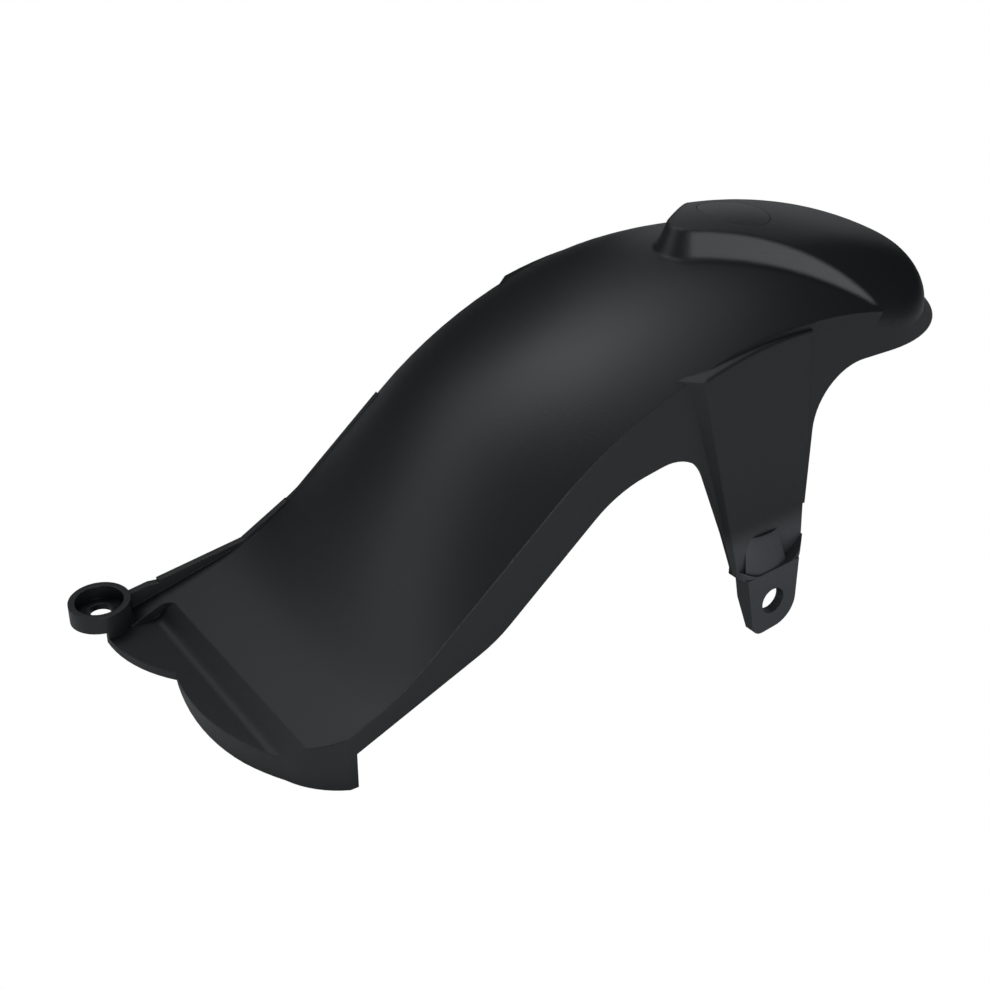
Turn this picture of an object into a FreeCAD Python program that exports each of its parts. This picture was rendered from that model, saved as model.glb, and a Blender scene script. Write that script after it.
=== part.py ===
"""Rear mudguard moulded in one piece, with an oval cap pressed into its raised tail.

Millimetres. X runs forward along the vehicle, Y to its left side and Z up.
The origin is midway between the two lug holes.
"""
import FreeCAD, Part
import math
import os

V = FreeCAD.Vector

# Shell
WALL = 2.5
HALF_WIDTH = 47.0

# Arch over the wheel
WHEEL_X = -9.3
RIDGE_TOP_Z = 90.8
RIDGE_RADIUS = 141.2
CROWN_RISE = 11.6
ARCH_BACK_ANGLE = -16.0
SLOPE_ANGLE = 40.5
WIDEN_START_X = 40.0
WIDEN_END_X = 78.0
CROWN_FADE = 18.0
CROWN_DIP = 0.5
ARCH_STRIPS = 20
SLOPE_STRIPS = 16

# Apron in front of the arch, with its step, flange and lip
APRON_ANGLE = 23.3
CREASE_X = 133.0
CREASE_ROUND = 70.0
APRON_EDGE_X = 159.3
STEP_ANGLE = 53.0
STEP_DROP = 6.0
STEP_ROUND = 1.2
STEP_FILLET = 4.0
LIP_DEPTH = 7.5
LIP_BACK_X = 147.6
LIP_RISE_Y = 20.0
LIP_SAG = 0.9
FRONT_RADIUS = 72.0
FRONT_CENTRE_X = 101.5
FRONT_CENTRE_Y = -3.8
CORNER_START_Y = 33.3
CORNER_END_X = 150.2
CORNER_BULGE = 1.2
NOTCH_Y = -21.0
SLOPE_SET = 0.3
STRIP_HEIGHT = 6.6

# Arm and eye at the right front corner
FLARE_BEND_X = 114.0
FLARE_BEND = 2.2
FLARE_SLOPE = 0.222
ARM_EDGE_Y = -51.9
ARM_CORNER_RADIUS = 5.0
ARM_BACK = 12.0
ARM_WEB_SAG = 3.13
ARM_WEB_END_X = 1.4
ARM_WEB_END_Y = 6.0
EYE_X = 179.5
EYE_Y = -59.0
EYE_LIFT = 11.77
EYE_HEIGHT = 7.0
EYE_RADIUS = 9.65
EYE_WALL = 2.1
EYE_FLOOR = 1.4
EYE_HOLE = 7.0
EYE_HOLE_RIM = 1.0
EYE_HOLE_RIM_HEIGHT = 0.5
EYE_UNDERCUT = 0.8
EYE_TILT = 4.0
EYE_TILT_TOWARDS = 56.0
RIB_START = 4.0
RIB_END_X = 169.0
RIB_HEIGHT = 5.4
RIB_FALL = 0.6
RIB_THICK = 2.2
RIB_SINK = 1.0

# Raised tail
DOME_RISE = 19.6
DOME_RADIUS = 147.0
DOME_CROSS_RADIUS = 67.6
DOME_FRONT_ANGLE = 18.0
DOME_BACK_ANGLE = -60.0
HUMP_NOSE_X = 9.6
HUMP_NOSE_RADIUS = 10.5
HUMP_FOOT = 10.6
HUMP_SPREAD = 34.8
HUMP_DRAFT = 23.0
HUMP_ABOVE = 14.0
HUMP_BACK_X = -140.0
TAIL_CENTRE_X = -45.0
TAIL_LENGTH = 39.5
TAIL_FLARE = 8.0
TAIL_RIM_DROP = 17.6
TAIL_NECK = 6.4
TAIL_ROUND = 11.0
TAIL_INNER_BEVEL = 4.0

# Skirts and struts
SKIRT_DEPTH = 15.5
SKIRT_TOP_X = 45.0
SKIRT_TOP_DEPTH = 21.5
SKIRT_TOP_ANGLE = 11.3
SKIRT_BLEND = 15.0
SKIRT_LONG_BLEND = 39.0
TAIL_BLEND = 19.0
STRUT_BACK_X = -14.6
STRUT_FRONT_X = 11.2
STRUT_BOTTOM = 10.0
STRUT_FRONT_ANGLE = -67.7
PANEL_Y = 47.9
PANEL_TILT_X = 0.0516
PANEL_TILT_Z = 0.0056
PANEL_FRONT_X = 33.7
PANEL_TOP_X = 12.0
PANEL_BACK_X = -9.5
PANEL_FRONT_DROP = 0.6
PANEL_TOP_DROP = 1.1
PANEL_BACK_DROP = 2.0
PANEL_MARGIN = 0.4
PANEL_FOOT = 1.8
PANEL_ROOT = 2.0
PANEL_DRAFT = 1.1

# Shelf, boss and drilled lug at the foot of each strut
LEDGE_X = 2.2
LEDGE_Z = 10.8
LEDGE_RADIUS = 22.6
LEDGE_THICK = 2.8
LEDGE_RISE_X = -6.0
LEDGE_RIM = 0.8
LEDGE_FRONT_ROUND = 5.0
LEDGE_BACK_ROUND = 9.0
BOSS_HEIGHT = 13.0
BOSS_LOW_HALF = 8.6
BOSS_LOW_Y = 51.6
BOSS_TOP_X = 3.6
BOSS_TOP_HALF = 6.6
BOSS_TOP_Y = 49.2
BOSS_SHOULDER = 1.4
LUG_Y = 52.0
LUG_THICK = 3.4
LUG_FRONT_X = 11.4
LUG_BACK_X = -9.6
LUG_BOTTOM = -11.5
LUG_RAKE = 4.4
LUG_SLANT = 2.5
LUG_FRONT_ROUND = 4.0
LUG_BACK_ROUND = 9.0
LUG_HOLE = 8.8
GUSSET_TOE = 1.7

# Oval cap
OVAL_X = -18.4
OVAL_HALF_X = 10.2
OVAL_HALF_Y = 12.8
OVAL_DEPTH = 1.2
OVAL_GAP = 0.12

# Sizes of blocks that are cut away again
OVERHANG = 3.0
SECTION_DEPTH = 62.0
TRIM = 4.0
FRONT_BACK_X = 84.0
FRONT_FAR_X = 200.0
DEEP = -60.0
HIGH = 140.0
WIDE = 90.0

# Sizes that follow from the ones above
WHEEL_Z = RIDGE_TOP_Z - RIDGE_RADIUS
DOME_Z = RIDGE_TOP_Z + DOME_RISE - DOME_RADIUS
HUMP_FOOT_Z = RIDGE_TOP_Z + HUMP_FOOT
TAIL_RIM_Z = RIDGE_TOP_Z - TAIL_RIM_DROP
BORE_Y = LUG_Y + TRIM


def side(x, z, y=0.0):
    """A point given in the side view."""
    return V(x, y, z)


def around(angle, radius):
    """A side-view point at an angle forward of the top of the wheel."""
    a = math.radians(angle)
    return WHEEL_X + radius * math.sin(a), WHEEL_Z + radius * math.cos(a)


def ridge_z(x):
    """Height of the arch's ridge."""
    return WHEEL_Z + math.sqrt(RIDGE_RADIUS ** 2 - (x - WHEEL_X) ** 2)


def ledge_z(x):
    """Height of the dished shelf."""
    return LEDGE_Z + LEDGE_RADIUS - math.sqrt(LEDGE_RADIUS ** 2 - (x - LEDGE_X) ** 2)


def polygon(points):
    return Part.makePolygon(points + [points[0]])


def prism(wire, direction):
    return Part.Face(wire).extrude(direction)


def across(corners):
    """A block over the whole width, from a side-view outline."""
    return prism(polygon([side(x, z, -WIDE) for x, z in corners]), V(0, 2 * WIDE, 0))


def rounded(points, radii):
    """A closed outline through points, with the corners listed in radii rounded."""
    starts = []
    ends = []
    middles = []
    for i, p in enumerate(points):
        a = (points[i - 1] - p).normalize()
        b = (points[(i + 1) % len(points)] - p).normalize()
        half = 0.5 * a.getAngle(b)
        r = radii.get(i, 0.0)
        cut = r / math.tan(half)
        starts.append(p + a * cut)
        ends.append(p + b * cut)
        middles.append(p + (a + b).normalize() * (r / math.sin(half) - r))
    edges = []
    for i in range(len(points)):
        if radii.get(i):
            edges.append(Part.Arc(starts[i], middles[i], ends[i]).toShape())
        edges.append(Part.makeLine(ends[i], starts[(i + 1) % len(points)]))
    return Part.Wire(edges)


def shifted(point, angle, inset):
    """A side-view line going forward and down, moved in by inset."""
    a = math.radians(angle)
    return (point[0] - inset * math.sin(a), point[1] - inset * math.cos(a)), angle


def at_x(line, x):
    (x0, z0), angle = line
    return x, z0 - math.tan(math.radians(angle)) * (x - x0)


def meet(first, second):
    """Where two such lines cross."""
    (x1, z1), a1 = first
    (x2, z2), a2 = second
    t1 = math.tan(math.radians(a1))
    t2 = math.tan(math.radians(a2))
    x = (z1 - z2 + t1 * x1 - t2 * x2) / (t1 - t2)
    return x, z1 - t1 * (x - x1)


def front_lines(inset):
    """Side-view lines of the slope, the apron, the step and the flange."""
    start = around(SLOPE_ANGLE, RIDGE_RADIUS)
    crease = at_x((start, SLOPE_ANGLE), CREASE_X)
    edge = at_x((crease, APRON_ANGLE), APRON_EDGE_X)
    slope = shifted(start, SLOPE_ANGLE, inset)
    apron = shifted(crease, APRON_ANGLE, inset)
    step = shifted(edge, STEP_ANGLE, inset)
    flange = shifted((edge[0], edge[1] - STEP_DROP), 0.0, inset)
    return slope, apron, step, flange


def eye_top():
    return at_x(front_lines(0.0)[1], EYE_X)[1] + EYE_LIFT


def crown_section(x, z, angle, rise):
    """Cross-section of the arch, square to its ridge: a curved top on a deep block."""
    a = math.radians(angle)
    up = V(math.sin(a), 0, math.cos(a))
    base = side(x, z)
    reach = HALF_WIDTH + OVERHANG
    end = rise * (1.0 - (reach / HALF_WIDTH) ** 2)
    left = base + up * end + V(0, reach, 0)
    right = base + up * end - V(0, reach, 0)
    curve = Part.BezierCurve()
    curve.setPoles([left, base + up * (2.0 * rise - end), right])
    low_left = base - up * SECTION_DEPTH + V(0, reach, 0)
    low_right = base - up * SECTION_DEPTH - V(0, reach, 0)
    return Part.Wire([curve.toShape()] + Part.makePolygon([right, low_right, low_left, left]).Edges)


def crease_length():
    """Length of the straight slope, from the end of the arch to the crease."""
    start, _ = around(SLOPE_ANGLE, RIDGE_RADIUS)
    return (CREASE_X - start) / math.cos(math.radians(SLOPE_ANGLE))


def ridge_point(s, inset):
    """Place and angle on the ridge line, s along it from the end of the arch."""
    turn = math.radians(SLOPE_ANGLE - APRON_ANGLE)
    straight = crease_length() - CREASE_ROUND * math.tan(0.5 * turn)
    x, z = around(SLOPE_ANGLE, RIDGE_RADIUS)
    a = math.radians(SLOPE_ANGLE)
    on_slope = min(s, straight)
    x += on_slope * math.cos(a)
    z -= on_slope * math.sin(a)
    bend = min((s - on_slope) / CREASE_ROUND, turn)
    x += CREASE_ROUND * (math.sin(a) - math.sin(a - bend))
    z += CREASE_ROUND * (math.cos(a) - math.cos(a - bend))
    a -= bend
    rest = s - on_slope - bend * CREASE_ROUND
    x += rest * math.cos(a) - inset * math.sin(a)
    z -= rest * math.sin(a) + inset * math.cos(a)
    return x, z, math.degrees(a)


def arch(inset):
    """The arch and the slope in front of it, whose crown fades out on the apron."""
    share = 2 if inset else 1
    sections = []
    steps = ARCH_STRIPS // share
    for i in range(steps):
        angle = ARCH_BACK_ANGLE + (SLOPE_ANGLE - ARCH_BACK_ANGLE) * i / steps
        sections.append(crown_section(*around(angle, RIDGE_RADIUS - inset), angle, CROWN_RISE))
    steps = SLOPE_STRIPS // share
    for i in range(steps + 1):
        part = i / steps
        x, z, angle = ridge_point(part * (crease_length() + CROWN_FADE), inset)
        dip = CROWN_DIP if i == steps else 0.0
        sections.append(crown_section(x, z - dip, angle, CROWN_RISE * (1.0 - part ** 2) ** 2))
    half = HALF_WIDTH - inset
    plan = [(-FRONT_FAR_X, half), (-FRONT_FAR_X, -half), (WIDEN_START_X, -half)]
    plan += [(WIDEN_END_X, -half - FLARE_BEND), (FRONT_FAR_X, -half - FLARE_BEND), (FRONT_FAR_X, half)]
    sides = prism(polygon([V(x, y, -2 * HIGH) for x, y in plan]), V(0, 0, 4 * HIGH))
    return Part.makeLoft(sections, True, True).common(sides)


def front_roof(inset):
    """Slope, apron, step and flange as a block."""
    slope = front_lines(inset + SLOPE_SET)[0]
    _, apron, step, flange = front_lines(inset)
    corners = [at_x(slope, FRONT_BACK_X), meet(slope, apron), meet(apron, step), meet(step, flange)]
    corners += [at_x(flange, FRONT_FAR_X), (FRONT_FAR_X, DEEP), (FRONT_BACK_X, DEEP)]
    rounds = {1: CREASE_ROUND + inset, 2: STEP_ROUND, 3: STEP_FILLET + inset}
    return prism(rounded([side(x, z, -WIDE) for x, z in corners], rounds), V(0, 2 * WIDE, 0))


def arm_roof(inset):
    """The apron carried on past its step, along the right side to the eye."""
    apron = front_lines(inset)[1]
    back = CREASE_X + WALL
    block = across([at_x(apron, back), at_x(apron, EYE_X), (EYE_X, DEEP), (back, DEEP)])
    edge_x = APRON_EDGE_X - 2 * inset
    edge_y = ARM_EDGE_Y - inset
    r = ARM_CORNER_RADIUS + inset
    h = r * (1.0 - math.sqrt(0.5))
    start = V(edge_x, edge_y + r, DEEP)
    end = V(edge_x + r, edge_y, DEEP)
    curve = Part.Arc(start, V(edge_x + h, edge_y + h, DEEP), end).toShape()
    rest = [end, V(EYE_X, edge_y, DEEP), V(EYE_X, -WIDE, DEEP), V(back, -WIDE, DEEP)]
    rest += [V(back, edge_y + r, DEEP), start]
    return block.common(prism(Part.Wire([curve] + Part.makePolygon(rest).Edges), V(0, 0, HIGH - DEEP)))


def flare_y(x):
    """Outer edge of the arm, seen from above."""
    return -HALF_WIDTH - FLARE_BEND - FLARE_SLOPE * (x - FLARE_BEND_X)


def front_point(y):
    """A point of the front lip's arc, seen from above."""
    return V(FRONT_CENTRE_X + math.sqrt(FRONT_RADIUS ** 2 - (y - FRONT_CENTRE_Y) ** 2), y, DEEP)


def front_plan():
    """Outline of the front half seen from above."""
    corner = front_point(CORNER_START_Y)
    near = V(CORNER_END_X, HALF_WIDTH, DEEP)
    middle = (corner + near) * 0.5 + V(CORNER_BULGE, CORNER_BULGE, 0)
    notch = front_point(NOTCH_Y)
    web_end = V(EYE_X + ARM_WEB_END_X, EYE_Y + ARM_WEB_END_Y, DEEP)
    web = web_end - notch
    web_middle = (notch + web_end) * 0.5 + V(-web.y, web.x, 0).normalize() * ARM_WEB_SAG
    arm_y = flare_y(EYE_X - ARM_BACK)
    rest = [web_end, V(EYE_X, arm_y, DEEP), V(EYE_X - ARM_BACK, arm_y, DEEP)]
    bend_y = flare_y(FLARE_BEND_X)
    rest += [V(FLARE_BEND_X, bend_y, DEEP), V(FRONT_BACK_X, bend_y, DEEP)]
    rest += [V(FRONT_BACK_X, HALF_WIDTH, DEEP), near]
    edges = [Part.Arc(near, middle, corner).toShape()]
    edges.append(Part.Arc(corner, front_point(FRONT_CENTRE_Y), notch).toShape())
    edges.append(Part.Arc(notch, web_middle, web_end).toShape())
    return Part.Wire(edges + Part.makePolygon(rest).Edges)


def front(inset):
    plan = front_plan()
    if inset:
        plan = Part.Face(plan).makeOffset2D(-inset, 2).OuterWire
    block = prism(plan, V(0, 0, HIGH - DEEP))
    return block.common(front_roof(inset).fuse(arm_roof(inset)))


def tail_plan(inset, length, z):
    """The tail seen from above: straight sides and half an ellipse."""
    half = HALF_WIDTH - inset
    stretch = (length - inset) / half
    circle = Part.Circle(V(0, 0, z), V(0, 0, 1), half)
    end = Part.Arc(circle, 0.5 * math.pi, 1.5 * math.pi).toBSpline()
    for i, pole in enumerate(end.getPoles(), 1):
        end.setPole(i, V(TAIL_CENTRE_X + stretch * pole.x, pole.y, z))
    front_x = HUMP_NOSE_X + HUMP_NOSE_RADIUS
    rest = [V(TAIL_CENTRE_X, -half, z), V(front_x, -half, z)]
    rest += [V(front_x, half, z), V(TAIL_CENTRE_X, half, z)]
    return Part.Wire([end.toShape()] + Part.makePolygon(rest).Edges)


def dome(inset):
    """A slice of a barrel, turned about an axis above the wheel's."""
    radius = DOME_CROSS_RADIUS - inset
    crest = DOME_RADIUS - inset
    reach = HALF_WIDTH + OVERHANG
    edge_r = crest - radius + math.sqrt(radius ** 2 - reach ** 2)
    base = V(WHEEL_X, 0, DOME_Z)
    left = base + V(0, reach, edge_r)
    right = base + V(0, -reach, edge_r)
    top = Part.Arc(left, base + V(0, 0, crest), right).toShape()
    low = edge_r - SECTION_DEPTH
    rest = Part.makePolygon([right, base + V(0, -reach, low), base + V(0, reach, low), left])
    face = Part.Face(Part.Wire([top] + rest.Edges))
    face.rotate(base, V(0, 1, 0), DOME_FRONT_ANGLE)
    return face.revolve(base, V(0, 1, 0), DOME_BACK_ANGLE - DOME_FRONT_ANGLE)


def hump(inset):
    """The wedge-shaped, drafted block that bounds the raised tail in plan."""
    spread = math.radians(HUMP_SPREAD)
    draft = math.radians(HUMP_DRAFT)
    centre_x = HUMP_NOSE_X - HUMP_NOSE_RADIUS
    rings = []
    for z in (TAIL_RIM_Z - 0.5 * TRIM, HUMP_FOOT_Z + HUMP_ABOVE):
        radius = HUMP_NOSE_RADIUS - inset / math.cos(draft) - (z - HUMP_FOOT_Z) * math.tan(draft)
        touch_x = centre_x + radius * math.sin(spread)
        touch_y = radius * math.cos(spread)
        back_y = touch_y + (touch_x - HUMP_BACK_X) * math.tan(spread)
        left = V(touch_x, touch_y, z)
        right = V(touch_x, -touch_y, z)
        nose = Part.Arc(left, V(centre_x + radius, 0, z), right).toShape()
        rings.append((nose, [left, V(HUMP_BACK_X, back_y, z), V(HUMP_BACK_X, -back_y, z), right]))
    (low_nose, low), (high_nose, high) = rings
    faces = [Part.Face(polygon([low[i], low[i + 1], high[i + 1], high[i]])) for i in range(3)]
    faces += Part.makeLoft([Part.Wire([low_nose]), Part.Wire([high_nose])], False, True).Faces
    for nose, points in rings:
        faces.append(Part.Face(Part.Wire([nose] + Part.makePolygon(points).Edges)))
    shell = Part.makeShell(faces)
    shell.sewShape()
    return Part.makeSolid(shell)


def tail(inset):
    """The raised tail with its rounded end and flared rim."""
    foot_z = TAIL_RIM_Z - TRIM
    above_foot = foot_z + 0.25 * TRIM
    block = dome(inset).common(prism(tail_plan(inset, TAIL_LENGTH, foot_z), V(0, 0, HIGH - foot_z)))
    rim = []
    for edge in block.Edges:
        if edge.BoundBox.ZMin > above_foot and edge.BoundBox.XMin < -HUMP_NOSE_RADIUS:
            rim.append(edge)
    if inset:
        block = block.makeChamfer(TAIL_INNER_BEVEL, rim)
    else:
        block = block.makeFillet(TAIL_ROUND, rim)
    rounding = min(e.BoundBox.ZMin for e in block.Edges if e.BoundBox.ZMin > above_foot)
    neck_z = min(TAIL_RIM_Z + TAIL_NECK, rounding - 0.1 * TRIM)
    slant = TAIL_FLARE / (neck_z - TAIL_RIM_Z)
    neck = tail_plan(inset, TAIL_LENGTH, neck_z)
    foot = tail_plan(inset, TAIL_LENGTH + slant * (neck_z - foot_z), foot_z)
    above = Part.makeBox(4 * HIGH, 4 * WIDE, HIGH, V(-2 * HIGH, -2 * WIDE, neck_z))
    return block.common(above).fuse(Part.makeLoft([foot, neck], True, True)).common(hump(inset))


def lower_outline():
    """Everything below the lower edge of the sides, as a block to cut away."""
    strip = front_lines(STRIP_HEIGHT)[1]
    strut = ((STRUT_FRONT_X, STRUT_BOTTOM), STRUT_FRONT_ANGLE)
    rise = front_lines(SKIRT_DEPTH)[0]
    top = ((SKIRT_TOP_X, ridge_z(SKIRT_TOP_X) - SKIRT_TOP_DEPTH), SKIRT_TOP_ANGLE)
    corners = [(-HIGH, TAIL_RIM_Z), (STRUT_BACK_X, TAIL_RIM_Z)]
    corners += [(x, ledge_z(x) - 0.5 * LEDGE_THICK) for x in (STRUT_BACK_X, LEDGE_RISE_X, LEDGE_X)]
    corners += [(STRUT_FRONT_X, STRUT_BOTTOM), meet(strut, top), meet(top, rise), meet(rise, strip)]
    corners += [at_x(strip, LIP_BACK_X), (LIP_BACK_X, DEEP - TRIM), (-HIGH, DEEP - TRIM)]
    rounds = {1: TAIL_BLEND, 6: SKIRT_BLEND, 7: SKIRT_LONG_BLEND, 8: SKIRT_LONG_BLEND}
    return prism(rounded([side(x, z, -WIDE) for x, z in corners], rounds), V(0, 2 * WIDE, 0))


def lip_outline():
    """Everything below the front lip, which rises towards the arm."""
    bottom = front_lines(LIP_DEPTH)[3][0][1]
    low = front_lines(WALL)[3][0][1]
    start = V(LIP_BACK_X, LIP_RISE_Y, bottom)
    end = V(LIP_BACK_X, NOTCH_Y, low)
    curve = Part.Arc(start, (start + end) * 0.5 - V(0, 0, LIP_SAG), end).toShape()
    rest = [end, V(LIP_BACK_X, -WIDE, low), V(LIP_BACK_X, -WIDE, DEEP - TRIM)]
    rest += [V(LIP_BACK_X, WIDE, DEEP - TRIM), V(LIP_BACK_X, WIDE, bottom), start]
    block = prism(Part.Wire([curve] + Part.makePolygon(rest).Edges), V(FRONT_FAR_X - LIP_BACK_X, 0, 0))
    strip = front_lines(STRIP_HEIGHT)[1]
    back = LIP_BACK_X - 0.25 * TRIM
    corners = [at_x(strip, back), at_x(strip, EYE_X), (EYE_X, DEEP), (back, DEEP)]
    right = prism(polygon([side(x, z, -WIDE) for x, z in corners]), V(0, WIDE + ARM_EDGE_Y + WALL, 0))
    return block.fuse(right)


def panel():
    """The raised panel on the outside of the left strut, proud at its front top corner."""
    top = [(PANEL_FRONT_X, ridge_z(PANEL_FRONT_X) - PANEL_FRONT_DROP)]
    top.append((PANEL_TOP_X, ridge_z(PANEL_TOP_X) - PANEL_TOP_DROP))
    top.append((PANEL_BACK_X, ridge_z(PANEL_BACK_X) - PANEL_BACK_DROP))
    low = [STRUT_BACK_X + PANEL_MARGIN, LEDGE_RISE_X, LEDGE_X, STRUT_FRONT_X + PANEL_FOOT]
    corners = top + [(x, ledge_z(x) - 0.5 * LEDGE_THICK) for x in low]
    outer = [side(x, z, PANEL_Y + PANEL_TILT_X * x + PANEL_TILT_Z * z) for x, z in corners]
    inner = [side(x, z, HALF_WIDTH - PANEL_ROOT) for x, z in corners]
    inner[0] = inner[0] + V(PANEL_DRAFT * (outer[0].y - inner[0].y), 0, 0)
    wires = []
    for points in (outer, inner):
        rest = Part.makePolygon(points[2:] + points[:1])
        wires.append(Part.Wire([Part.Arc(*points[:3]).toShape()] + rest.Edges))
    return Part.makeLoft(wires, True, True)


def ledge():
    """The dished shelf at the foot of the left strut."""
    front_x = STRUT_FRONT_X + PANEL_FOOT
    back_x = STRUT_BACK_X + PANEL_MARGIN
    curves = []
    for drop in (0.0, LEDGE_THICK):
        points = [side(x, ledge_z(x) - drop) for x in (front_x, LEDGE_X, back_x)]
        curves.append((Part.Arc(*points).toShape(), points[0], points[2]))
    (upper, top_front, top_back), (lower, low_front, low_back) = curves
    ends = [Part.makeLine(top_back, low_back), Part.makeLine(low_front, top_front)]
    slab = prism(Part.Wire([upper, ends[0], lower, ends[1]]), V(0, LUG_Y, 0))
    inner = HALF_WIDTH - WALL
    rim = HALF_WIDTH + LEDGE_RIM
    plan = [(front_x, inner), (front_x, rim), (LUG_FRONT_X, LUG_Y)]
    plan += [(LUG_BACK_X, LUG_Y), (back_x, rim), (back_x, inner)]
    rounds = {2: LEDGE_FRONT_ROUND, 3: LEDGE_BACK_ROUND}
    return slab.common(prism(rounded([V(x, y, DEEP) for x, y in plan], rounds), V(0, 0, HIGH)))


def lug():
    """The flat lug with its front gusset."""
    top = ledge_z(LUG_BACK_X) - 0.5 * LEDGE_THICK
    front_top = (LUG_FRONT_X, LEDGE_Z)
    front_low = (LUG_FRONT_X - LUG_RAKE, LUG_BOTTOM)
    toe = LUG_BOTTOM + LUG_SLANT
    back_y = LUG_Y - LUG_THICK
    corners = [front_top, front_low, (LUG_BACK_X, toe), (LUG_BACK_X, top)]
    rounds = {1: LUG_FRONT_ROUND, 2: LUG_BACK_ROUND}
    plate = prism(rounded([side(x, z, back_y) for x, z in corners], rounds), V(0, LUG_THICK, 0))
    strip = [front_top, front_low, (front_low[0] - LUG_THICK, toe), (LUG_FRONT_X - LUG_THICK, LEDGE_Z)]
    wall = prism(polygon([side(x, z) for x, z in strip]), V(0, LUG_Y, 0))
    inner = HALF_WIDTH - 0.5 * WALL
    shape = [(inner, LEDGE_Z), (LUG_Y, LEDGE_Z), (LUG_Y, toe), (back_y, toe), (inner, GUSSET_TOE)]
    gusset = prism(polygon([V(-HIGH, y, z) for y, z in shape]), V(2 * HIGH, 0, 0))
    return plate.fuse(wall.common(gusset))


def boss():
    """The convex ramp between the shelf and the strut."""
    low = (LEDGE_Z, LEDGE_X, BOSS_LOW_HALF, BOSS_LOW_Y)
    high = (LEDGE_Z + BOSS_HEIGHT, BOSS_TOP_X, BOSS_TOP_HALF, BOSS_TOP_Y)
    back = HALF_WIDTH - 0.5 * WALL
    wires = []
    for z, x, half, face_y in (low, high):
        left = V(x - half, face_y - BOSS_SHOULDER, z)
        right = V(x + half, face_y - BOSS_SHOULDER, z)
        rest = Part.makePolygon([right, V(x + half, back, z), V(x - half, back, z), left])
        wires.append(Part.Wire([Part.Arc(left, V(x, face_y, z), right).toShape()] + rest.Edges))
    return Part.makeLoft(wires, True, True)


def strut_fittings():
    """Panel, shelf, boss and drilled lug of the left strut."""
    foot = ledge().fuse([lug(), boss(), panel()])
    return foot.cut(Part.makeCylinder(0.5 * LUG_HOLE, BORE_Y, V(0, 0, 0), V(0, 1, 0)))


def rib():
    """The low rib along the outer edge of the arm."""
    slope, apron = front_lines(0.0)[:2]
    low_slope, low_apron = front_lines(RIB_SINK)[:2]
    crease = at_x(apron, CREASE_X)[1]
    top = at_x(apron, RIB_END_X)[1] + RIB_HEIGHT
    corners = [at_x(slope, FLARE_BEND_X + RIB_START), (CREASE_X, crease + 0.25 * RIB_HEIGHT)]
    corners += [(RIB_END_X, top), (EYE_X, top - RIB_FALL)]
    corners += [at_x(low_apron, EYE_X), meet(low_slope, low_apron)]
    end_x = EYE_X - 0.5 * EYE_RADIUS
    plan = [V(FLARE_BEND_X, flare_y(FLARE_BEND_X), DEEP), V(end_x, flare_y(end_x), DEEP)]
    plan += [p + V(0, RIB_THICK, 0) for p in reversed(plan)]
    return across(corners).common(prism(polygon(plan), V(0, 0, HIGH - DEEP)))


def eye(radius, bottom, top):
    return Part.makeCylinder(radius, top - bottom, V(EYE_X, EYE_Y, bottom))


def above_eye():
    """Everything above the cup's rim, which leans outwards."""
    a = math.radians(EYE_TILT_TOWARDS)
    drop = EYE_RADIUS * math.tan(math.radians(EYE_TILT))
    centre = V(EYE_X, EYE_Y, eye_top() - drop)
    size = 4 * EYE_RADIUS
    block = Part.makeBox(size, size, HIGH, centre - V(0.5 * size, 0.5 * size, 0))
    block.rotate(centre, V(-math.sin(a), math.cos(a), 0), EYE_TILT)
    return block


def oval(grow):
    """The oval on the raised tail, as a tall column."""
    half_x = OVAL_HALF_X + grow
    half_y = OVAL_HALF_Y + grow
    base = V(OVAL_X, 0, TAIL_RIM_Z)
    wire = Part.Wire([Part.Ellipse(base + V(0, half_y, 0), base + V(half_x, 0, 0), base).toShape()])
    return prism(wire, V(0, 0, HIGH - TAIL_RIM_Z))


def seat_floor():
    """The floor of the oval's seat: curved across the tail, straight along it."""
    lean = math.asin((OVAL_X - WHEEL_X) / DOME_RADIUS)
    up = V(math.sin(lean), 0, math.cos(lean))
    along = V(math.cos(lean), 0, -math.sin(lean))
    axis = V(WHEEL_X, 0, DOME_Z) + up * (DOME_RADIUS - DOME_CROSS_RADIUS) - along * (2 * OVAL_HALF_X)
    return Part.makeCylinder(DOME_CROSS_RADIUS - OVAL_DEPTH, 4 * OVAL_HALF_X, axis, along)


def body():
    """The moulding: an outer skin less an inner one, with the fittings added."""
    outside = arch(0.0).cut(hump(0.0)).fuse([front(0.0), tail(0.0)])
    inside = arch(WALL).fuse([front(WALL), tail(WALL)])
    shell = outside.cut(inside).cut(lower_outline()).cut(lip_outline())
    top = eye_top()
    bottom = top - EYE_HEIGHT
    floor = bottom + EYE_UNDERCUT + EYE_FLOOR
    hole = 0.5 * EYE_HOLE
    pocket = EYE_RADIUS - EYE_WALL
    left = strut_fittings()
    right = left.mirror(V(0, 0, 0), V(0, 1, 0))
    foot = eye(EYE_RADIUS, bottom - WALL, top).common(prism(front_plan(), V(0, 0, HIGH - DEEP)))
    shell = shell.fuse([left, right, rib(), foot, eye(EYE_RADIUS, bottom, top)])
    shell = shell.cut(eye(pocket, floor, HIGH)).cut(above_eye())
    shell = shell.fuse(eye(hole + EYE_HOLE_RIM, floor - EYE_FLOOR, floor + EYE_HOLE_RIM_HEIGHT))
    shell = shell.cut(eye(hole, DEEP, HIGH)).cut(eye(pocket, DEEP, bottom + EYE_UNDERCUT))
    return shell.cut(oval(OVAL_GAP).cut(seat_floor()))


def oval_cap():
    """The thin cap that fills the oval seat."""
    return oval(0.0).common(dome(0.0)).cut(seat_floor())


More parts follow.
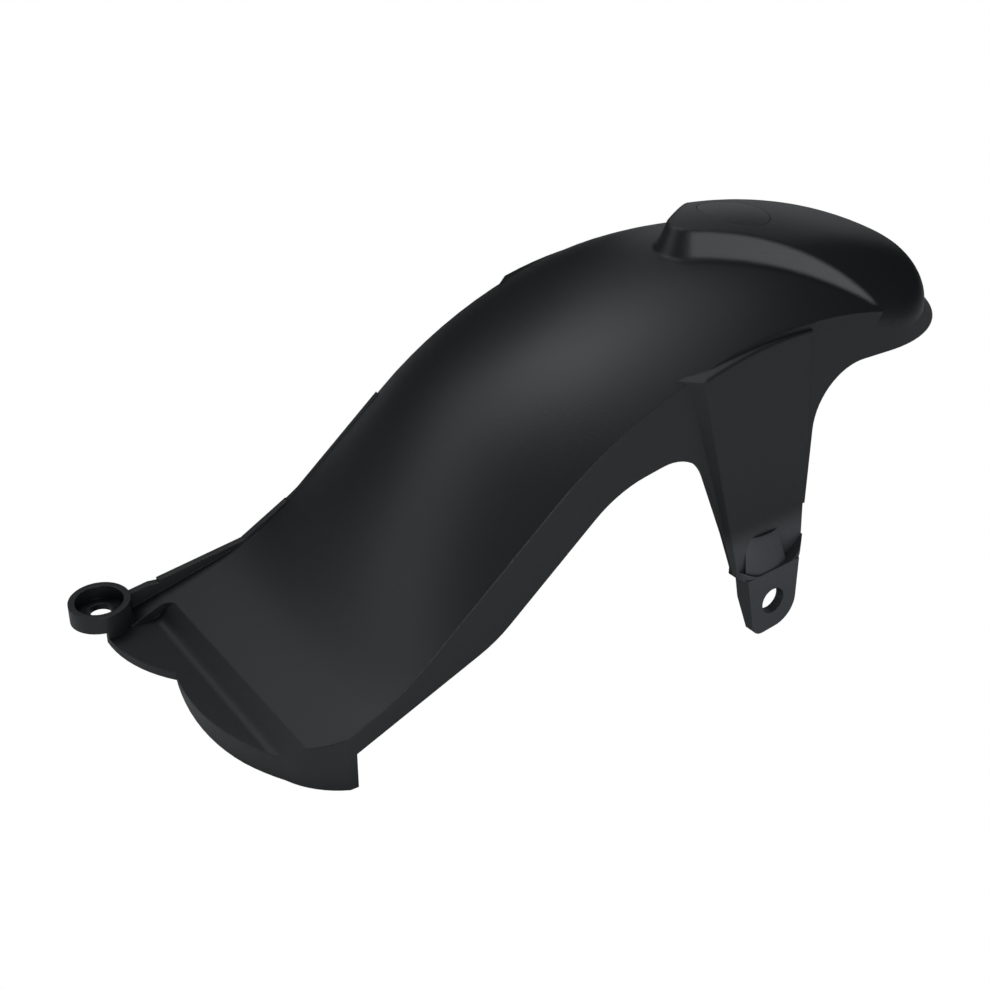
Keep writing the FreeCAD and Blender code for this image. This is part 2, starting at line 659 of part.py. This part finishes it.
os.makedirs("parts", exist_ok=True)
for name, shape in (("mudguard_body", body()), ("oval_cap", oval_cap())):
    solid = shape.removeSplitter()
    print(name, solid.isValid(), [round(s.Volume) for s in solid.Solids])
    solid.Solids[0].exportStep("parts/" + name + ".step")
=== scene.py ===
"""Looks of a moulded rear mudguard: satin black plastic on a pale studio floor."""
import math

import bpy
from mathutils import Matrix, Vector


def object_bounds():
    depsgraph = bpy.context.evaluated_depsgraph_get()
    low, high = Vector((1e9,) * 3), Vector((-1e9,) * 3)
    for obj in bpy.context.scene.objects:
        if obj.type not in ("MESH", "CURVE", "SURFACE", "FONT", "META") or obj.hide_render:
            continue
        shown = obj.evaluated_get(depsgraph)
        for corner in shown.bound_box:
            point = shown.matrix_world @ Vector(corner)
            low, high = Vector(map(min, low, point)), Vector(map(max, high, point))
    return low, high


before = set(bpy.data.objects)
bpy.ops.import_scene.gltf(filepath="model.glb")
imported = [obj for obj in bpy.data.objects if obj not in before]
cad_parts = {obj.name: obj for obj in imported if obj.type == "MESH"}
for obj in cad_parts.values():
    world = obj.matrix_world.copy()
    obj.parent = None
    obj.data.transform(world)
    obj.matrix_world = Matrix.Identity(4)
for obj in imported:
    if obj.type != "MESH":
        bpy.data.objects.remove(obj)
CAD_BOX = [list(corner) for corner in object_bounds()]

bl_info = {
    "name": "Rear mudguard looks",
    "version": (1, 0, 0),
    "blender": (4, 5, 0),
    "location": "View3D > Sidebar > Mudguard",
    "description": "Gives the moulded mudguard its satin black finish and a studio",
    "category": "Object",
}

# Where the photograph was taken from, in millimetres in the part's own frame
CAMERA_PLACE = (307.38, 354.1, 272.02)
CAMERA_RIGHT = (-0.8317, 0.55523, 0.0)
CAMERA_UP = (-0.26918, -0.40322, 0.87462)
MM = 0.001

# Softboxes round the part: name, direction in degrees round and up, and power in watts
LIGHT_TARGET = (45.0, 0.0, 50.0)
LIGHT_DISTANCE = 900.0
LIGHT_SIZE = 420.0
LIGHT_COLOUR = (0.95, 0.995, 1.02)
LIGHTS = (
    ("Near fill", 98.0, 8.0, 0.3),
    ("Camera fill", 70.0, 17.0, 2.9),
    ("Far key", -60.0, 64.0, 0.6),
    ("Far side", -90.0, 62.0, 0.56),
    ("Far low", -61.0, 43.0, 0.44),
    ("Front", -34.0, 30.0, 0.42),
    ("Front low", -24.0, 8.0, 0.46),
    ("Overhead", -90.0, 82.0, 0.4),
    ("Back", -140.0, 64.0, 0.3),
    ("Back side", -120.0, 46.0, 0.1),
    ("Back low", -138.0, 14.0, 0.2),
)

# Places on the moulding that its shading refers to, in millimetres
HALF_WIDTH = 47.0
WHEEL_CENTRE = (-9.3, 0.0, -50.4)
RIDGE_RADIUS = 141.2
CROWN_RISE = 11.6
SLOPE_ANGLE = 40.5
SLOPE_LENGTH = 84.5
BEND_START = 55.9
BEND_RADIUS = 70.0
BEND_ANGLE = 17.2
PANEL_BACK_X = -11.0
PANEL_FRONT_X = 32.5
PANEL_INNER_Y = 46.2
PANEL_SHADE_Y = 43.0
PANEL_EDGE_DEPTH = 4.0
TAIL_FRONT_X = 14.0
TAIL_LOW_Z = 83.5
TAIL_HALF_WIDTH = 45.5
OVAL_X = -18.4
OVAL_HALF = (10.2, 12.8)
# The painted light on the feet is full up to the lower height and gone at the upper
FOOT_TOP_Z = 30.0
PAINTED_LIGHT_FULL_Z = 20.0
FOOT_INNER_Y = 46.0

# How fine the shading is, and where its effects begin and end
GRAIN_DETAIL = 2.0
EDGE_SAMPLES = 6
# Painted shade in the inner corners: its samples, and the occlusion range over which it fades in
PAINTED_SHADE_SAMPLES = 8
PAINTED_SHADE_OPEN = (0.25, 0.95)
CROWN_MATCH = (0.990, 0.997)
OVAL_MARGIN = 1.2
CAP_EDGE_SHARE = 0.5
PLAIN_SPECULAR = 0.5

# The studio, with the floor's size in metres and the sensor's in millimetres
WHITE = (1.0, 1.0, 1.0, 1.0)
FLOOR_SIZE = 6.0
FLOOR_ROUGHNESS = 0.9
SENSOR_WIDTH = 36.0


class ShellFinish(bpy.types.PropertyGroup):
    """Finish of the moulded shell, with painted shade in its inner corners and painted light on its
    feet.
    """

    colour: bpy.props.FloatVectorProperty(
        name="Colour",
        description="Colour of the plastic",
        subtype="COLOR",
        size=4,
        min=0.0,
        max=1.0,
        default=(0.0215, 0.0225, 0.0238, 1.0),
    )
    roughness: bpy.props.FloatProperty(
        name="Roughness",
        description="How far the plastic spreads a reflection",
        subtype="FACTOR",
        min=0.0,
        max=1.0,
        default=0.4,
    )
    grain_size: bpy.props.FloatProperty(
        name="Grain size",
        description="Width of one grain of the mould texture",
        unit="LENGTH",
        default=0.0009,
    )
    grain_depth: bpy.props.FloatProperty(
        name="Grain depth",
        description="Height of the mould texture",
        unit="LENGTH",
        default=0.00003,
    )
    edge_radius: bpy.props.FloatProperty(
        name="Edge radius",
        description="Rounding that the edges of the moulding show",
        unit="LENGTH",
        default=0.0005,
    )
    # Painted shade: darkens the colour and the specular level of the inner corners, where shade falls
    shade: bpy.props.FloatProperty(
        name="Corner shade",
        description="How dark the inner corners of the moulding are",
        subtype="FACTOR",
        min=0.0,
        max=1.0,
        default=0.6,
    )
    painted_shade_reach: bpy.props.FloatProperty(
        name="Corner reach",
        description="How far the shade of an inner corner reaches",
        unit="LENGTH",
        default=0.012,
    )
    # Painted light: brightens the colour of the boss and lug at the foot of each strut
    painted_foot_light: bpy.props.FloatProperty(
        name="Painted light on feet",
        description="How much paler the boss and lug at the foot of a strut are",
        min=0.0,
        default=2.6,
    )
    tail_edge_radius: bpy.props.FloatProperty(
        name="Tail edge radius",
        description="Rounding of the edges of the raised tail",
        unit="LENGTH",
        default=0.0021,
    )
    panel_edge_radius: bpy.props.FloatProperty(
        name="Panel edge radius",
        description="Rounding of the top edge of the strut's panel",
        unit="LENGTH",
        default=0.0017,
    )


class CapFinish(bpy.types.PropertyGroup):
    """Finish of the oval cap."""

    colour: bpy.props.FloatVectorProperty(
        name="Colour",
        description="Colour of the cap",
        subtype="COLOR",
        size=4,
        min=0.0,
        max=1.0,
        default=(0.023, 0.024, 0.025, 1.0),
    )
    roughness: bpy.props.FloatProperty(
        name="Roughness",
        description="How far the cap spreads a reflection",
        subtype="FACTOR",
        min=0.0,
        max=1.0,
        default=0.38,
    )


class StudioSettings(bpy.types.PropertyGroup):
    """Floor, lights and camera."""

    floor_colour: bpy.props.FloatVectorProperty(
        name="Floor",
        description="Colour of the floor and backdrop",
        subtype="COLOR",
        size=4,
        min=0.0,
        max=1.0,
        default=(0.9, 0.9, 0.9, 1.0),
    )
    ambient: bpy.props.FloatProperty(
        name="Ambient",
        description="Strength of the light from all round",
        min=0.0,
        default=0.0,
    )
    power: bpy.props.FloatProperty(
        name="Light",
        description="Level of all softboxes together",
        min=0.0,
        default=1.0,
    )
    lens: bpy.props.FloatProperty(
        name="Lens",
        description="Focal length of the camera on a 36 mm sensor",
        unit="CAMERA",
        default=57.6,
    )


def make_grain_group():
    """Fine mould texture: a height that changes over the surface."""
    group = bpy.data.node_groups.new("Mould grain", "ShaderNodeTree")
    group.interface.new_socket("Size", in_out="INPUT", socket_type="NodeSocketFloat")
    group.interface.new_socket("Height", in_out="OUTPUT", socket_type="NodeSocketFloat")
    nodes = group.nodes
    links = group.links
    entry = nodes.new("NodeGroupInput")
    result = nodes.new("NodeGroupOutput")
    place = nodes.new("ShaderNodeTexCoord")
    scale = nodes.new("ShaderNodeMath")
    scale.operation = "DIVIDE"
    scale.inputs[0].default_value = 1.0
    links.new(entry.outputs["Size"], scale.inputs[1])
    noise = nodes.new("ShaderNodeTexNoise")
    noise.inputs["Detail"].default_value = GRAIN_DETAIL
    links.new(place.outputs["Object"], noise.inputs["Vector"])
    links.new(scale.outputs[0], noise.inputs["Scale"])
    links.new(noise.outputs["Fac"], result.inputs["Height"])
    return group


def put(tree, socket, value):
    """Sets an input to a plain value, or links it to another node."""
    if isinstance(value, bpy.types.NodeSocket):
        tree.links.new(value, socket)
    else:
        socket.default_value = value


def fill(tree, node, values):
    """Sets or links the inputs of a node in order."""
    for socket, value in zip(node.inputs, values):
        put(tree, socket, value)


def number(tree, operation, *values):
    """A sum on numbers."""
    node = tree.nodes.new("ShaderNodeMath")
    node.operation = operation
    fill(tree, node, values)
    return node.outputs["Value"]


def vector(tree, operation, *values):
    """A sum on vectors."""
    node = tree.nodes.new("ShaderNodeVectorMath")
    node.operation = operation
    fill(tree, node, values)
    if operation in ("DOT_PRODUCT", "LENGTH"):
        return node.outputs["Value"]
    return node.outputs["Vector"]


def scale(tree, source, factor):
    """A vector made longer or shorter."""
    node = tree.nodes.new("ShaderNodeVectorMath")
    node.operation = "SCALE"
    put(tree, node.inputs["Vector"], source)
    put(tree, node.inputs["Scale"], factor)
    return node.outputs["Vector"]


def combine(tree, x, y, z):
    """A vector from its three coordinates."""
    node = tree.nodes.new("ShaderNodeCombineXYZ")
    fill(tree, node, (x, y, z))
    return node.outputs["Vector"]


def blend(tree, factor, first, second):
    """A mix of two vectors."""
    node = tree.nodes.new("ShaderNodeMix")
    node.data_type = "VECTOR"
    put(tree, node.inputs[0], factor)
    put(tree, node.inputs[4], first)
    put(tree, node.inputs[5], second)
    return node.outputs[1]


def clamp(tree, value, low, high):
    """A number held between two limits."""
    return number(tree, "MINIMUM", number(tree, "MAXIMUM", value, low), high)


def product(tree, first, *others):
    """The product of several numbers, which for masks is 1 only where all of them are 1."""
    for other in others:
        first = number(tree, "MULTIPLY", first, other)
    return first


def ramp(tree, value, start, end, low, high):
    """A smooth change from low to high while value goes from start to end."""
    node = tree.nodes.new("ShaderNodeMapRange")
    node.interpolation_type = "SMOOTHSTEP"
    fill(tree, node, (value, start, end, low, high))
    return node.outputs["Result"]


def position(tree):
    """The place on the part, and its three coordinates."""
    place = tree.nodes.new("ShaderNodeTexCoord")
    split = tree.nodes.new("ShaderNodeSeparateXYZ")
    tree.links.new(place.outputs["Object"], split.inputs["Vector"])
    return place.outputs["Object"], split.outputs["X"], split.outputs["Y"], split.outputs["Z"]


def from_wheel(tree, place):
    """The way from the wheel's centre to a place, seen from the side."""
    flat = vector(tree, "MULTIPLY", place, (1.0, 0.0, 1.0))
    return vector(tree, "SUBTRACT", flat, Vector(WHEEL_CENTRE) * MM)


def make_crown_group():
    """Gives the crown of the arch and of the slope one smooth normal along its whole length."""
    group = bpy.data.node_groups.new("Smooth crown", "ShaderNodeTree")
    group.interface.new_socket("Normal", in_out="INPUT", socket_type="NodeSocketVector")
    group.interface.new_socket("Normal", in_out="OUTPUT", socket_type="NodeSocketVector")
    entry = group.nodes.new("NodeGroupInput")
    result = group.nodes.new("NodeGroupOutput")
    place, _, y, _ = position(group)
    outwards = from_wheel(group, place)
    start = math.radians(SLOPE_ANGLE)
    along = vector(group, "DOT_PRODUCT", outwards, (math.cos(start), 0.0, -math.sin(start)))
    ahead = number(group, "GREATER_THAN", along, 0.0)

    # The crown's height fades out down the slope
    part = clamp(group, number(group, "DIVIDE", along, SLOPE_LENGTH * MM), 0.0, 1.0)
    left = number(group, "SUBTRACT", 1.0, number(group, "MULTIPLY", part, part))
    rise = product(group, left, left, CROWN_RISE * MM)
    fall = product(group, part, left, 4.0 * CROWN_RISE / SLOPE_LENGTH)

    # The slope bends up into the apron
    past_start = number(group, "SUBTRACT", along, BEND_START * MM)
    bend = number(group, "DIVIDE", past_start, BEND_RADIUS * MM)
    bend = clamp(group, bend, 0.0, math.radians(BEND_ANGLE))
    angle = number(group, "SUBTRACT", start, bend)
    sine = number(group, "SINE", angle)
    cosine = number(group, "COSINE", angle)
    slope_up = combine(group, sine, 0.0, cosine)
    slope_along = combine(group, cosine, 0.0, number(group, "MULTIPLY", sine, -1.0))

    # The normal of the section, tilted by the fall and by the place across the width
    across = number(group, "DIVIDE", y, HALF_WIDTH * MM)
    inside = number(group, "SUBTRACT", 1.0, number(group, "MULTIPLY", across, across))
    tilt = scale(group, slope_along, number(group, "MULTIPLY", fall, inside))
    on_slope = vector(group, "ADD", slope_up, tilt)
    up = blend(group, ahead, vector(group, "NORMALIZE", outwards), on_slope)
    steep = product(group, rise, y, 2.0 / (HALF_WIDTH * MM) ** 2)
    sideways = combine(group, 0.0, steep, 0.0)
    crown = vector(group, "NORMALIZE", vector(group, "ADD", up, sideways))

    # It takes over where the surface already faces nearly that way, on either skin
    match = vector(group, "DOT_PRODUCT", entry.outputs["Normal"], crown)
    near = ramp(group, number(group, "ABSOLUTE", match), *CROWN_MATCH, 0.0, 1.0)
    facing = scale(group, crown, number(group, "SIGN", match))
    mixed = blend(group, near, entry.outputs["Normal"], facing)
    group.links.new(vector(group, "NORMALIZE", mixed), result.inputs["Normal"])
    return group


def panel_top_at(tree, inner_y):
    """1 along the top edges of the two panels, from a half width outwards, and 0 elsewhere."""
    place, x, y, _ = position(tree)
    reach = vector(tree, "LENGTH", from_wheel(tree, place))
    high = number(tree, "GREATER_THAN", reach, (RIDGE_RADIUS - PANEL_EDGE_DEPTH) * MM)
    out = number(tree, "GREATER_THAN", number(tree, "ABSOLUTE", y), inner_y * MM)
    after = number(tree, "GREATER_THAN", x, PANEL_BACK_X * MM)
    before = number(tree, "LESS_THAN", x, PANEL_FRONT_X * MM)
    return product(tree, high, out, after, before)


def tail_at(tree):
    """1 on the raised tail, clear of the oval's seam, and 0 elsewhere."""
    place, x, y, z = position(tree)
    behind = number(tree, "LESS_THAN", x, TAIL_FRONT_X * MM)
    above = number(tree, "GREATER_THAN", z, TAIL_LOW_Z * MM)
    within = number(tree, "LESS_THAN", number(tree, "ABSOLUTE", y), TAIL_HALF_WIDTH * MM)
    from_oval = vector(tree, "SUBTRACT", place, (OVAL_X * MM, 0.0, 0.0))
    shares = (1.0 / (OVAL_HALF[0] * MM), 1.0 / (OVAL_HALF[1] * MM), 0.0)
    reach = vector(tree, "LENGTH", vector(tree, "MULTIPLY", from_oval, shares))
    outside = number(tree, "GREATER_THAN", reach, OVAL_MARGIN)
    return product(tree, behind, above, within, outside)


def edge_radius_at(tree, look):
    """The rounding that the edges show: larger on the raised tail and along the panels' tops."""
    tail_extra = look.tail_edge_radius - look.edge_radius
    panel_extra = look.panel_edge_radius - look.edge_radius
    panel = panel_top_at(tree, PANEL_INNER_Y)
    radius = number(tree, "MULTIPLY_ADD", tail_at(tree), tail_extra, look.edge_radius)
    return number(tree, "MULTIPLY_ADD", panel, panel_extra, radius)


def painted_foot_light_at(tree, painted_foot_light):
    """Painted light: the boss and lug at the foot of each strut are made paler than the rest, in place
    of the light they catch.
    """
    _, x, y, z = position(tree)
    low = ramp(tree, z, PAINTED_LIGHT_FULL_Z * MM, FOOT_TOP_Z * MM, painted_foot_light, 0.0)
    out = number(tree, "GREATER_THAN", number(tree, "ABSOLUTE", y), FOOT_INNER_Y * MM)
    behind = number(tree, "LESS_THAN", x, PANEL_FRONT_X * MM)
    return number(tree, "MULTIPLY_ADD", number(tree, "MULTIPLY", low, out), behind, 1.0)


def make_plastic(name, grain, colour, roughness, grain_size, grain_depth, edge_radius):
    """Satin black plastic with a fine mould texture and slightly rounded edges."""
    material = bpy.data.materials.new(name)
    material.use_nodes = True
    nodes = material.node_tree.nodes
    links = material.node_tree.links
    shader = nodes["Principled BSDF"]
    shader.inputs["Base Color"].default_value = colour
    shader.inputs["Roughness"].default_value = roughness
    texture = nodes.new("ShaderNodeGroup")
    texture.node_tree = grain
    texture.inputs["Size"].default_value = grain_size
    edge = nodes.new("ShaderNodeBevel")
    edge.samples = EDGE_SAMPLES
    edge.inputs["Radius"].default_value = edge_radius
    bump = nodes.new("ShaderNodeBump")
    bump.inputs["Distance"].default_value = grain_depth
    links.new(texture.outputs["Height"], bump.inputs["Height"])
    links.new(edge.outputs["Normal"], bump.inputs["Normal"])
    links.new(bump.outputs["Normal"], shader.inputs["Normal"])
    return material


def soften(material, look):
    """Adds the softer edges, the smooth crown, painted shade in the inner corners and painted light on
    the feet to the shell's material.
    """
    tree = material.node_tree
    edge = tree.nodes["Bevel"]
    tree.links.new(edge_radius_at(tree, look), edge.inputs["Radius"])
    crown = tree.nodes.new("ShaderNodeGroup")
    crown.node_tree = make_crown_group()
    tree.links.new(edge.outputs["Normal"], crown.inputs["Normal"])
    tree.links.new(crown.outputs["Normal"], tree.nodes["Bump"].inputs["Normal"])
    # Painted shade: occlusion darkens the colour and the specular level in inner corners, but not
    # along the panels' tops
    corner = tree.nodes.new("ShaderNodeAmbientOcclusion")
    corner.samples = PAINTED_SHADE_SAMPLES
    corner.only_local = True
    corner.inputs["Distance"].default_value = look.painted_shade_reach
    painted_shade_factor = ramp(tree, corner.outputs["AO"], *PAINTED_SHADE_OPEN, 1.0 - look.shade, 1.0)
    light = number(tree, "MAXIMUM", painted_shade_factor, panel_top_at(tree, PANEL_SHADE_Y))
    # Painted shade and painted light together set the level of the colour
    level = number(tree, "MULTIPLY", light, painted_foot_light_at(tree, look.painted_foot_light))
    painted_shade_specular = number(tree, "MULTIPLY", light, PLAIN_SPECULAR)
    shader = tree.nodes["Principled BSDF"]
    tree.links.new(scale(tree, look.colour[:3], level), shader.inputs["Base Color"])
    tree.links.new(painted_shade_specular, shader.inputs["Specular IOR Level"])


def dress(node, material):
    """Puts a material in every slot of a CAD node."""
    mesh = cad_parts[node].data
    if not mesh.materials:
        mesh.materials.append(material)
    for i in range(len(mesh.materials)):
        mesh.materials[i] = material


class MUDGUARD_OT_shell(bpy.types.Operator):
    """Give the moulded shell its satin black finish, with painted shade in its inner corners and
    painted light on its feet
    """

    bl_idname = "mudguard.shell"
    bl_label = "Finish the shell"

    def execute(self, context):
        look = context.scene.mudguard_shell
        grain = bpy.data.node_groups.get("Mould grain") or make_grain_group()
        plastic = make_plastic(
            "Satin black moulding",
            grain,
            look.colour,
            look.roughness,
            look.grain_size,
            look.grain_depth,
            look.edge_radius,
        )
        soften(plastic, look)
        dress("mudguard_body", plastic)
        return {"FINISHED"}


class MUDGUARD_OT_cap(bpy.types.Operator):
    """Give the oval cap its finish"""

    bl_idname = "mudguard.cap"
    bl_label = "Finish the cap"

    def execute(self, context):
        look = context.scene.mudguard_cap
        shell = context.scene.mudguard_shell
        grain = bpy.data.node_groups.get("Mould grain") or make_grain_group()
        plastic = make_plastic(
            "Satin black cap",
            grain,
            look.colour,
            look.roughness,
            shell.grain_size,
            shell.grain_depth,
            CAP_EDGE_SHARE * shell.edge_radius,
        )
        dress("oval_cap", plastic)
        return {"FINISHED"}


def make_floor(colour):
    """A pale floor that looks white to the camera and sends light back to the part."""
    bpy.ops.object.select_all(action="DESELECT")
    low = CAD_BOX[0][2]
    bpy.ops.mesh.primitive_plane_add(size=FLOOR_SIZE, location=(0.0, 0.0, low))
    floor = bpy.context.object
    floor.name = "studio_floor"
    bpy.ops.object.transform_apply(location=True, rotation=True, scale=True)
    material = bpy.data.materials.new("Pale floor")
    material.use_nodes = True
    nodes = material.node_tree.nodes
    links = material.node_tree.links
    diffuse = nodes["Principled BSDF"]
    diffuse.inputs["Base Color"].default_value = colour
    diffuse.inputs["Roughness"].default_value = FLOOR_ROUGHNESS
    white = nodes.new("ShaderNodeEmission")
    white.inputs["Color"].default_value = WHITE
    path = nodes.new("ShaderNodeLightPath")
    mix = nodes.new("ShaderNodeMixShader")
    links.new(path.outputs["Is Camera Ray"], mix.inputs["Fac"])
    links.new(diffuse.outputs["BSDF"], mix.inputs[1])
    links.new(white.outputs["Emission"], mix.inputs[2])
    links.new(mix.outputs["Shader"], nodes["Material Output"].inputs["Surface"])
    floor.data.materials.append(material)


def make_world(ambient):
    """White to the camera, with a level of its own for the light that it gives the part."""
    world = bpy.data.worlds.new("Studio")
    bpy.context.scene.world = world
    world.use_nodes = True
    nodes = world.node_tree.nodes
    links = world.node_tree.links
    light = nodes["Background"]
    light.inputs["Strength"].default_value = ambient
    light.inputs["Color"].default_value = WHITE
    white = nodes.new("ShaderNodeBackground")
    white.inputs["Color"].default_value = WHITE
    path = nodes.new("ShaderNodeLightPath")
    mix = nodes.new("ShaderNodeMixShader")
    links.new(path.outputs["Is Camera Ray"], mix.inputs["Fac"])
    links.new(light.outputs["Background"], mix.inputs[1])
    links.new(white.outputs["Background"], mix.inputs[2])
    links.new(mix.outputs["Shader"], nodes["World Output"].inputs["Surface"])


def add_light(name, turn, rise, power):
    """A square softbox that faces the part, turn degrees round from its front and rise up."""
    lamp = bpy.data.lights.new(name, "AREA")
    lamp.shape = "SQUARE"
    lamp.size = LIGHT_SIZE * MM
    lamp.energy = power
    lamp.color = LIGHT_COLOUR
    holder = bpy.data.objects.new(name, lamp)
    bpy.context.scene.collection.objects.link(holder)
    round_by = math.radians(turn)
    up_by = math.radians(rise)
    level = math.cos(up_by)
    away = Vector((math.cos(round_by) * level, math.sin(round_by) * level, math.sin(up_by)))
    holder.location = (Vector(LIGHT_TARGET) + away * LIGHT_DISTANCE) * MM
    holder.rotation_euler = away.to_track_quat("Z", "Y").to_euler()


def add_camera(lens):
    """The camera at the photograph's place and angle."""
    camera = bpy.data.cameras.new("Camera")
    camera.lens = lens
    camera.sensor_width = SENSOR_WIDTH
    holder = bpy.data.objects.new("Camera", camera)
    bpy.context.scene.collection.objects.link(holder)
    right = Vector(CAMERA_RIGHT).normalized()
    up = Vector(CAMERA_UP).normalized()
    back = right.cross(up)
    turn = Matrix((right, up, back)).transposed().to_4x4()
    holder.matrix_world = Matrix.Translation(Vector(CAMERA_PLACE) * MM) @ turn
    bpy.context.scene.camera = holder


class MUDGUARD_OT_stage(bpy.types.Operator):
    """Build the pale floor, the lights and the camera"""

    bl_idname = "mudguard.stage"
    bl_label = "Build the studio"

    def execute(self, context):
        studio = context.scene.mudguard_studio
        context.scene.view_settings.view_transform = "Standard"
        make_floor(studio.floor_colour)
        make_world(studio.ambient)
        for name, turn, rise, power in LIGHTS:
            add_light(name, turn, rise, power * studio.power)
        add_camera(studio.lens)
        return {"FINISHED"}


class MUDGUARD_PT_panel(bpy.types.Panel):
    """The mudguard's finish and studio in the sidebar"""

    bl_idname = "MUDGUARD_PT_panel"
    bl_label = "Mudguard"
    bl_space_type = "VIEW_3D"
    bl_region_type = "UI"
    bl_category = "Mudguard"

    def draw(self, context):
        scene = context.scene
        for title, group, names, action in (
            ("Shell", scene.mudguard_shell, ShellFinish.__annotations__, "mudguard.shell"),
            ("Cap", scene.mudguard_cap, CapFinish.__annotations__, "mudguard.cap"),
            ("Studio", scene.mudguard_studio, StudioSettings.__annotations__, "mudguard.stage"),
        ):
            box = self.layout.box()
            box.label(text=title)
            for name in names:
                box.prop(group, name)
            box.operator(action)


CLASSES = (
    ShellFinish,
    CapFinish,
    StudioSettings,
    MUDGUARD_OT_shell,
    MUDGUARD_OT_cap,
    MUDGUARD_OT_stage,
    MUDGUARD_PT_panel,
)


def register():
    for cls in CLASSES:
        bpy.utils.register_class(cls)
    bpy.types.Scene.mudguard_shell = bpy.props.PointerProperty(type=ShellFinish)
    bpy.types.Scene.mudguard_cap = bpy.props.PointerProperty(type=CapFinish)
    bpy.types.Scene.mudguard_studio = bpy.props.PointerProperty(type=StudioSettings)


def unregister():
    del bpy.types.Scene.mudguard_studio
    del bpy.types.Scene.mudguard_cap
    del bpy.types.Scene.mudguard_shell
    for cls in reversed(CLASSES):
        bpy.utils.unregister_class(cls)


def main():
    register()
    bpy.ops.mudguard.shell()
    bpy.ops.mudguard.cap()
    bpy.ops.mudguard.stage()


if __name__ == "__main__":
    main()
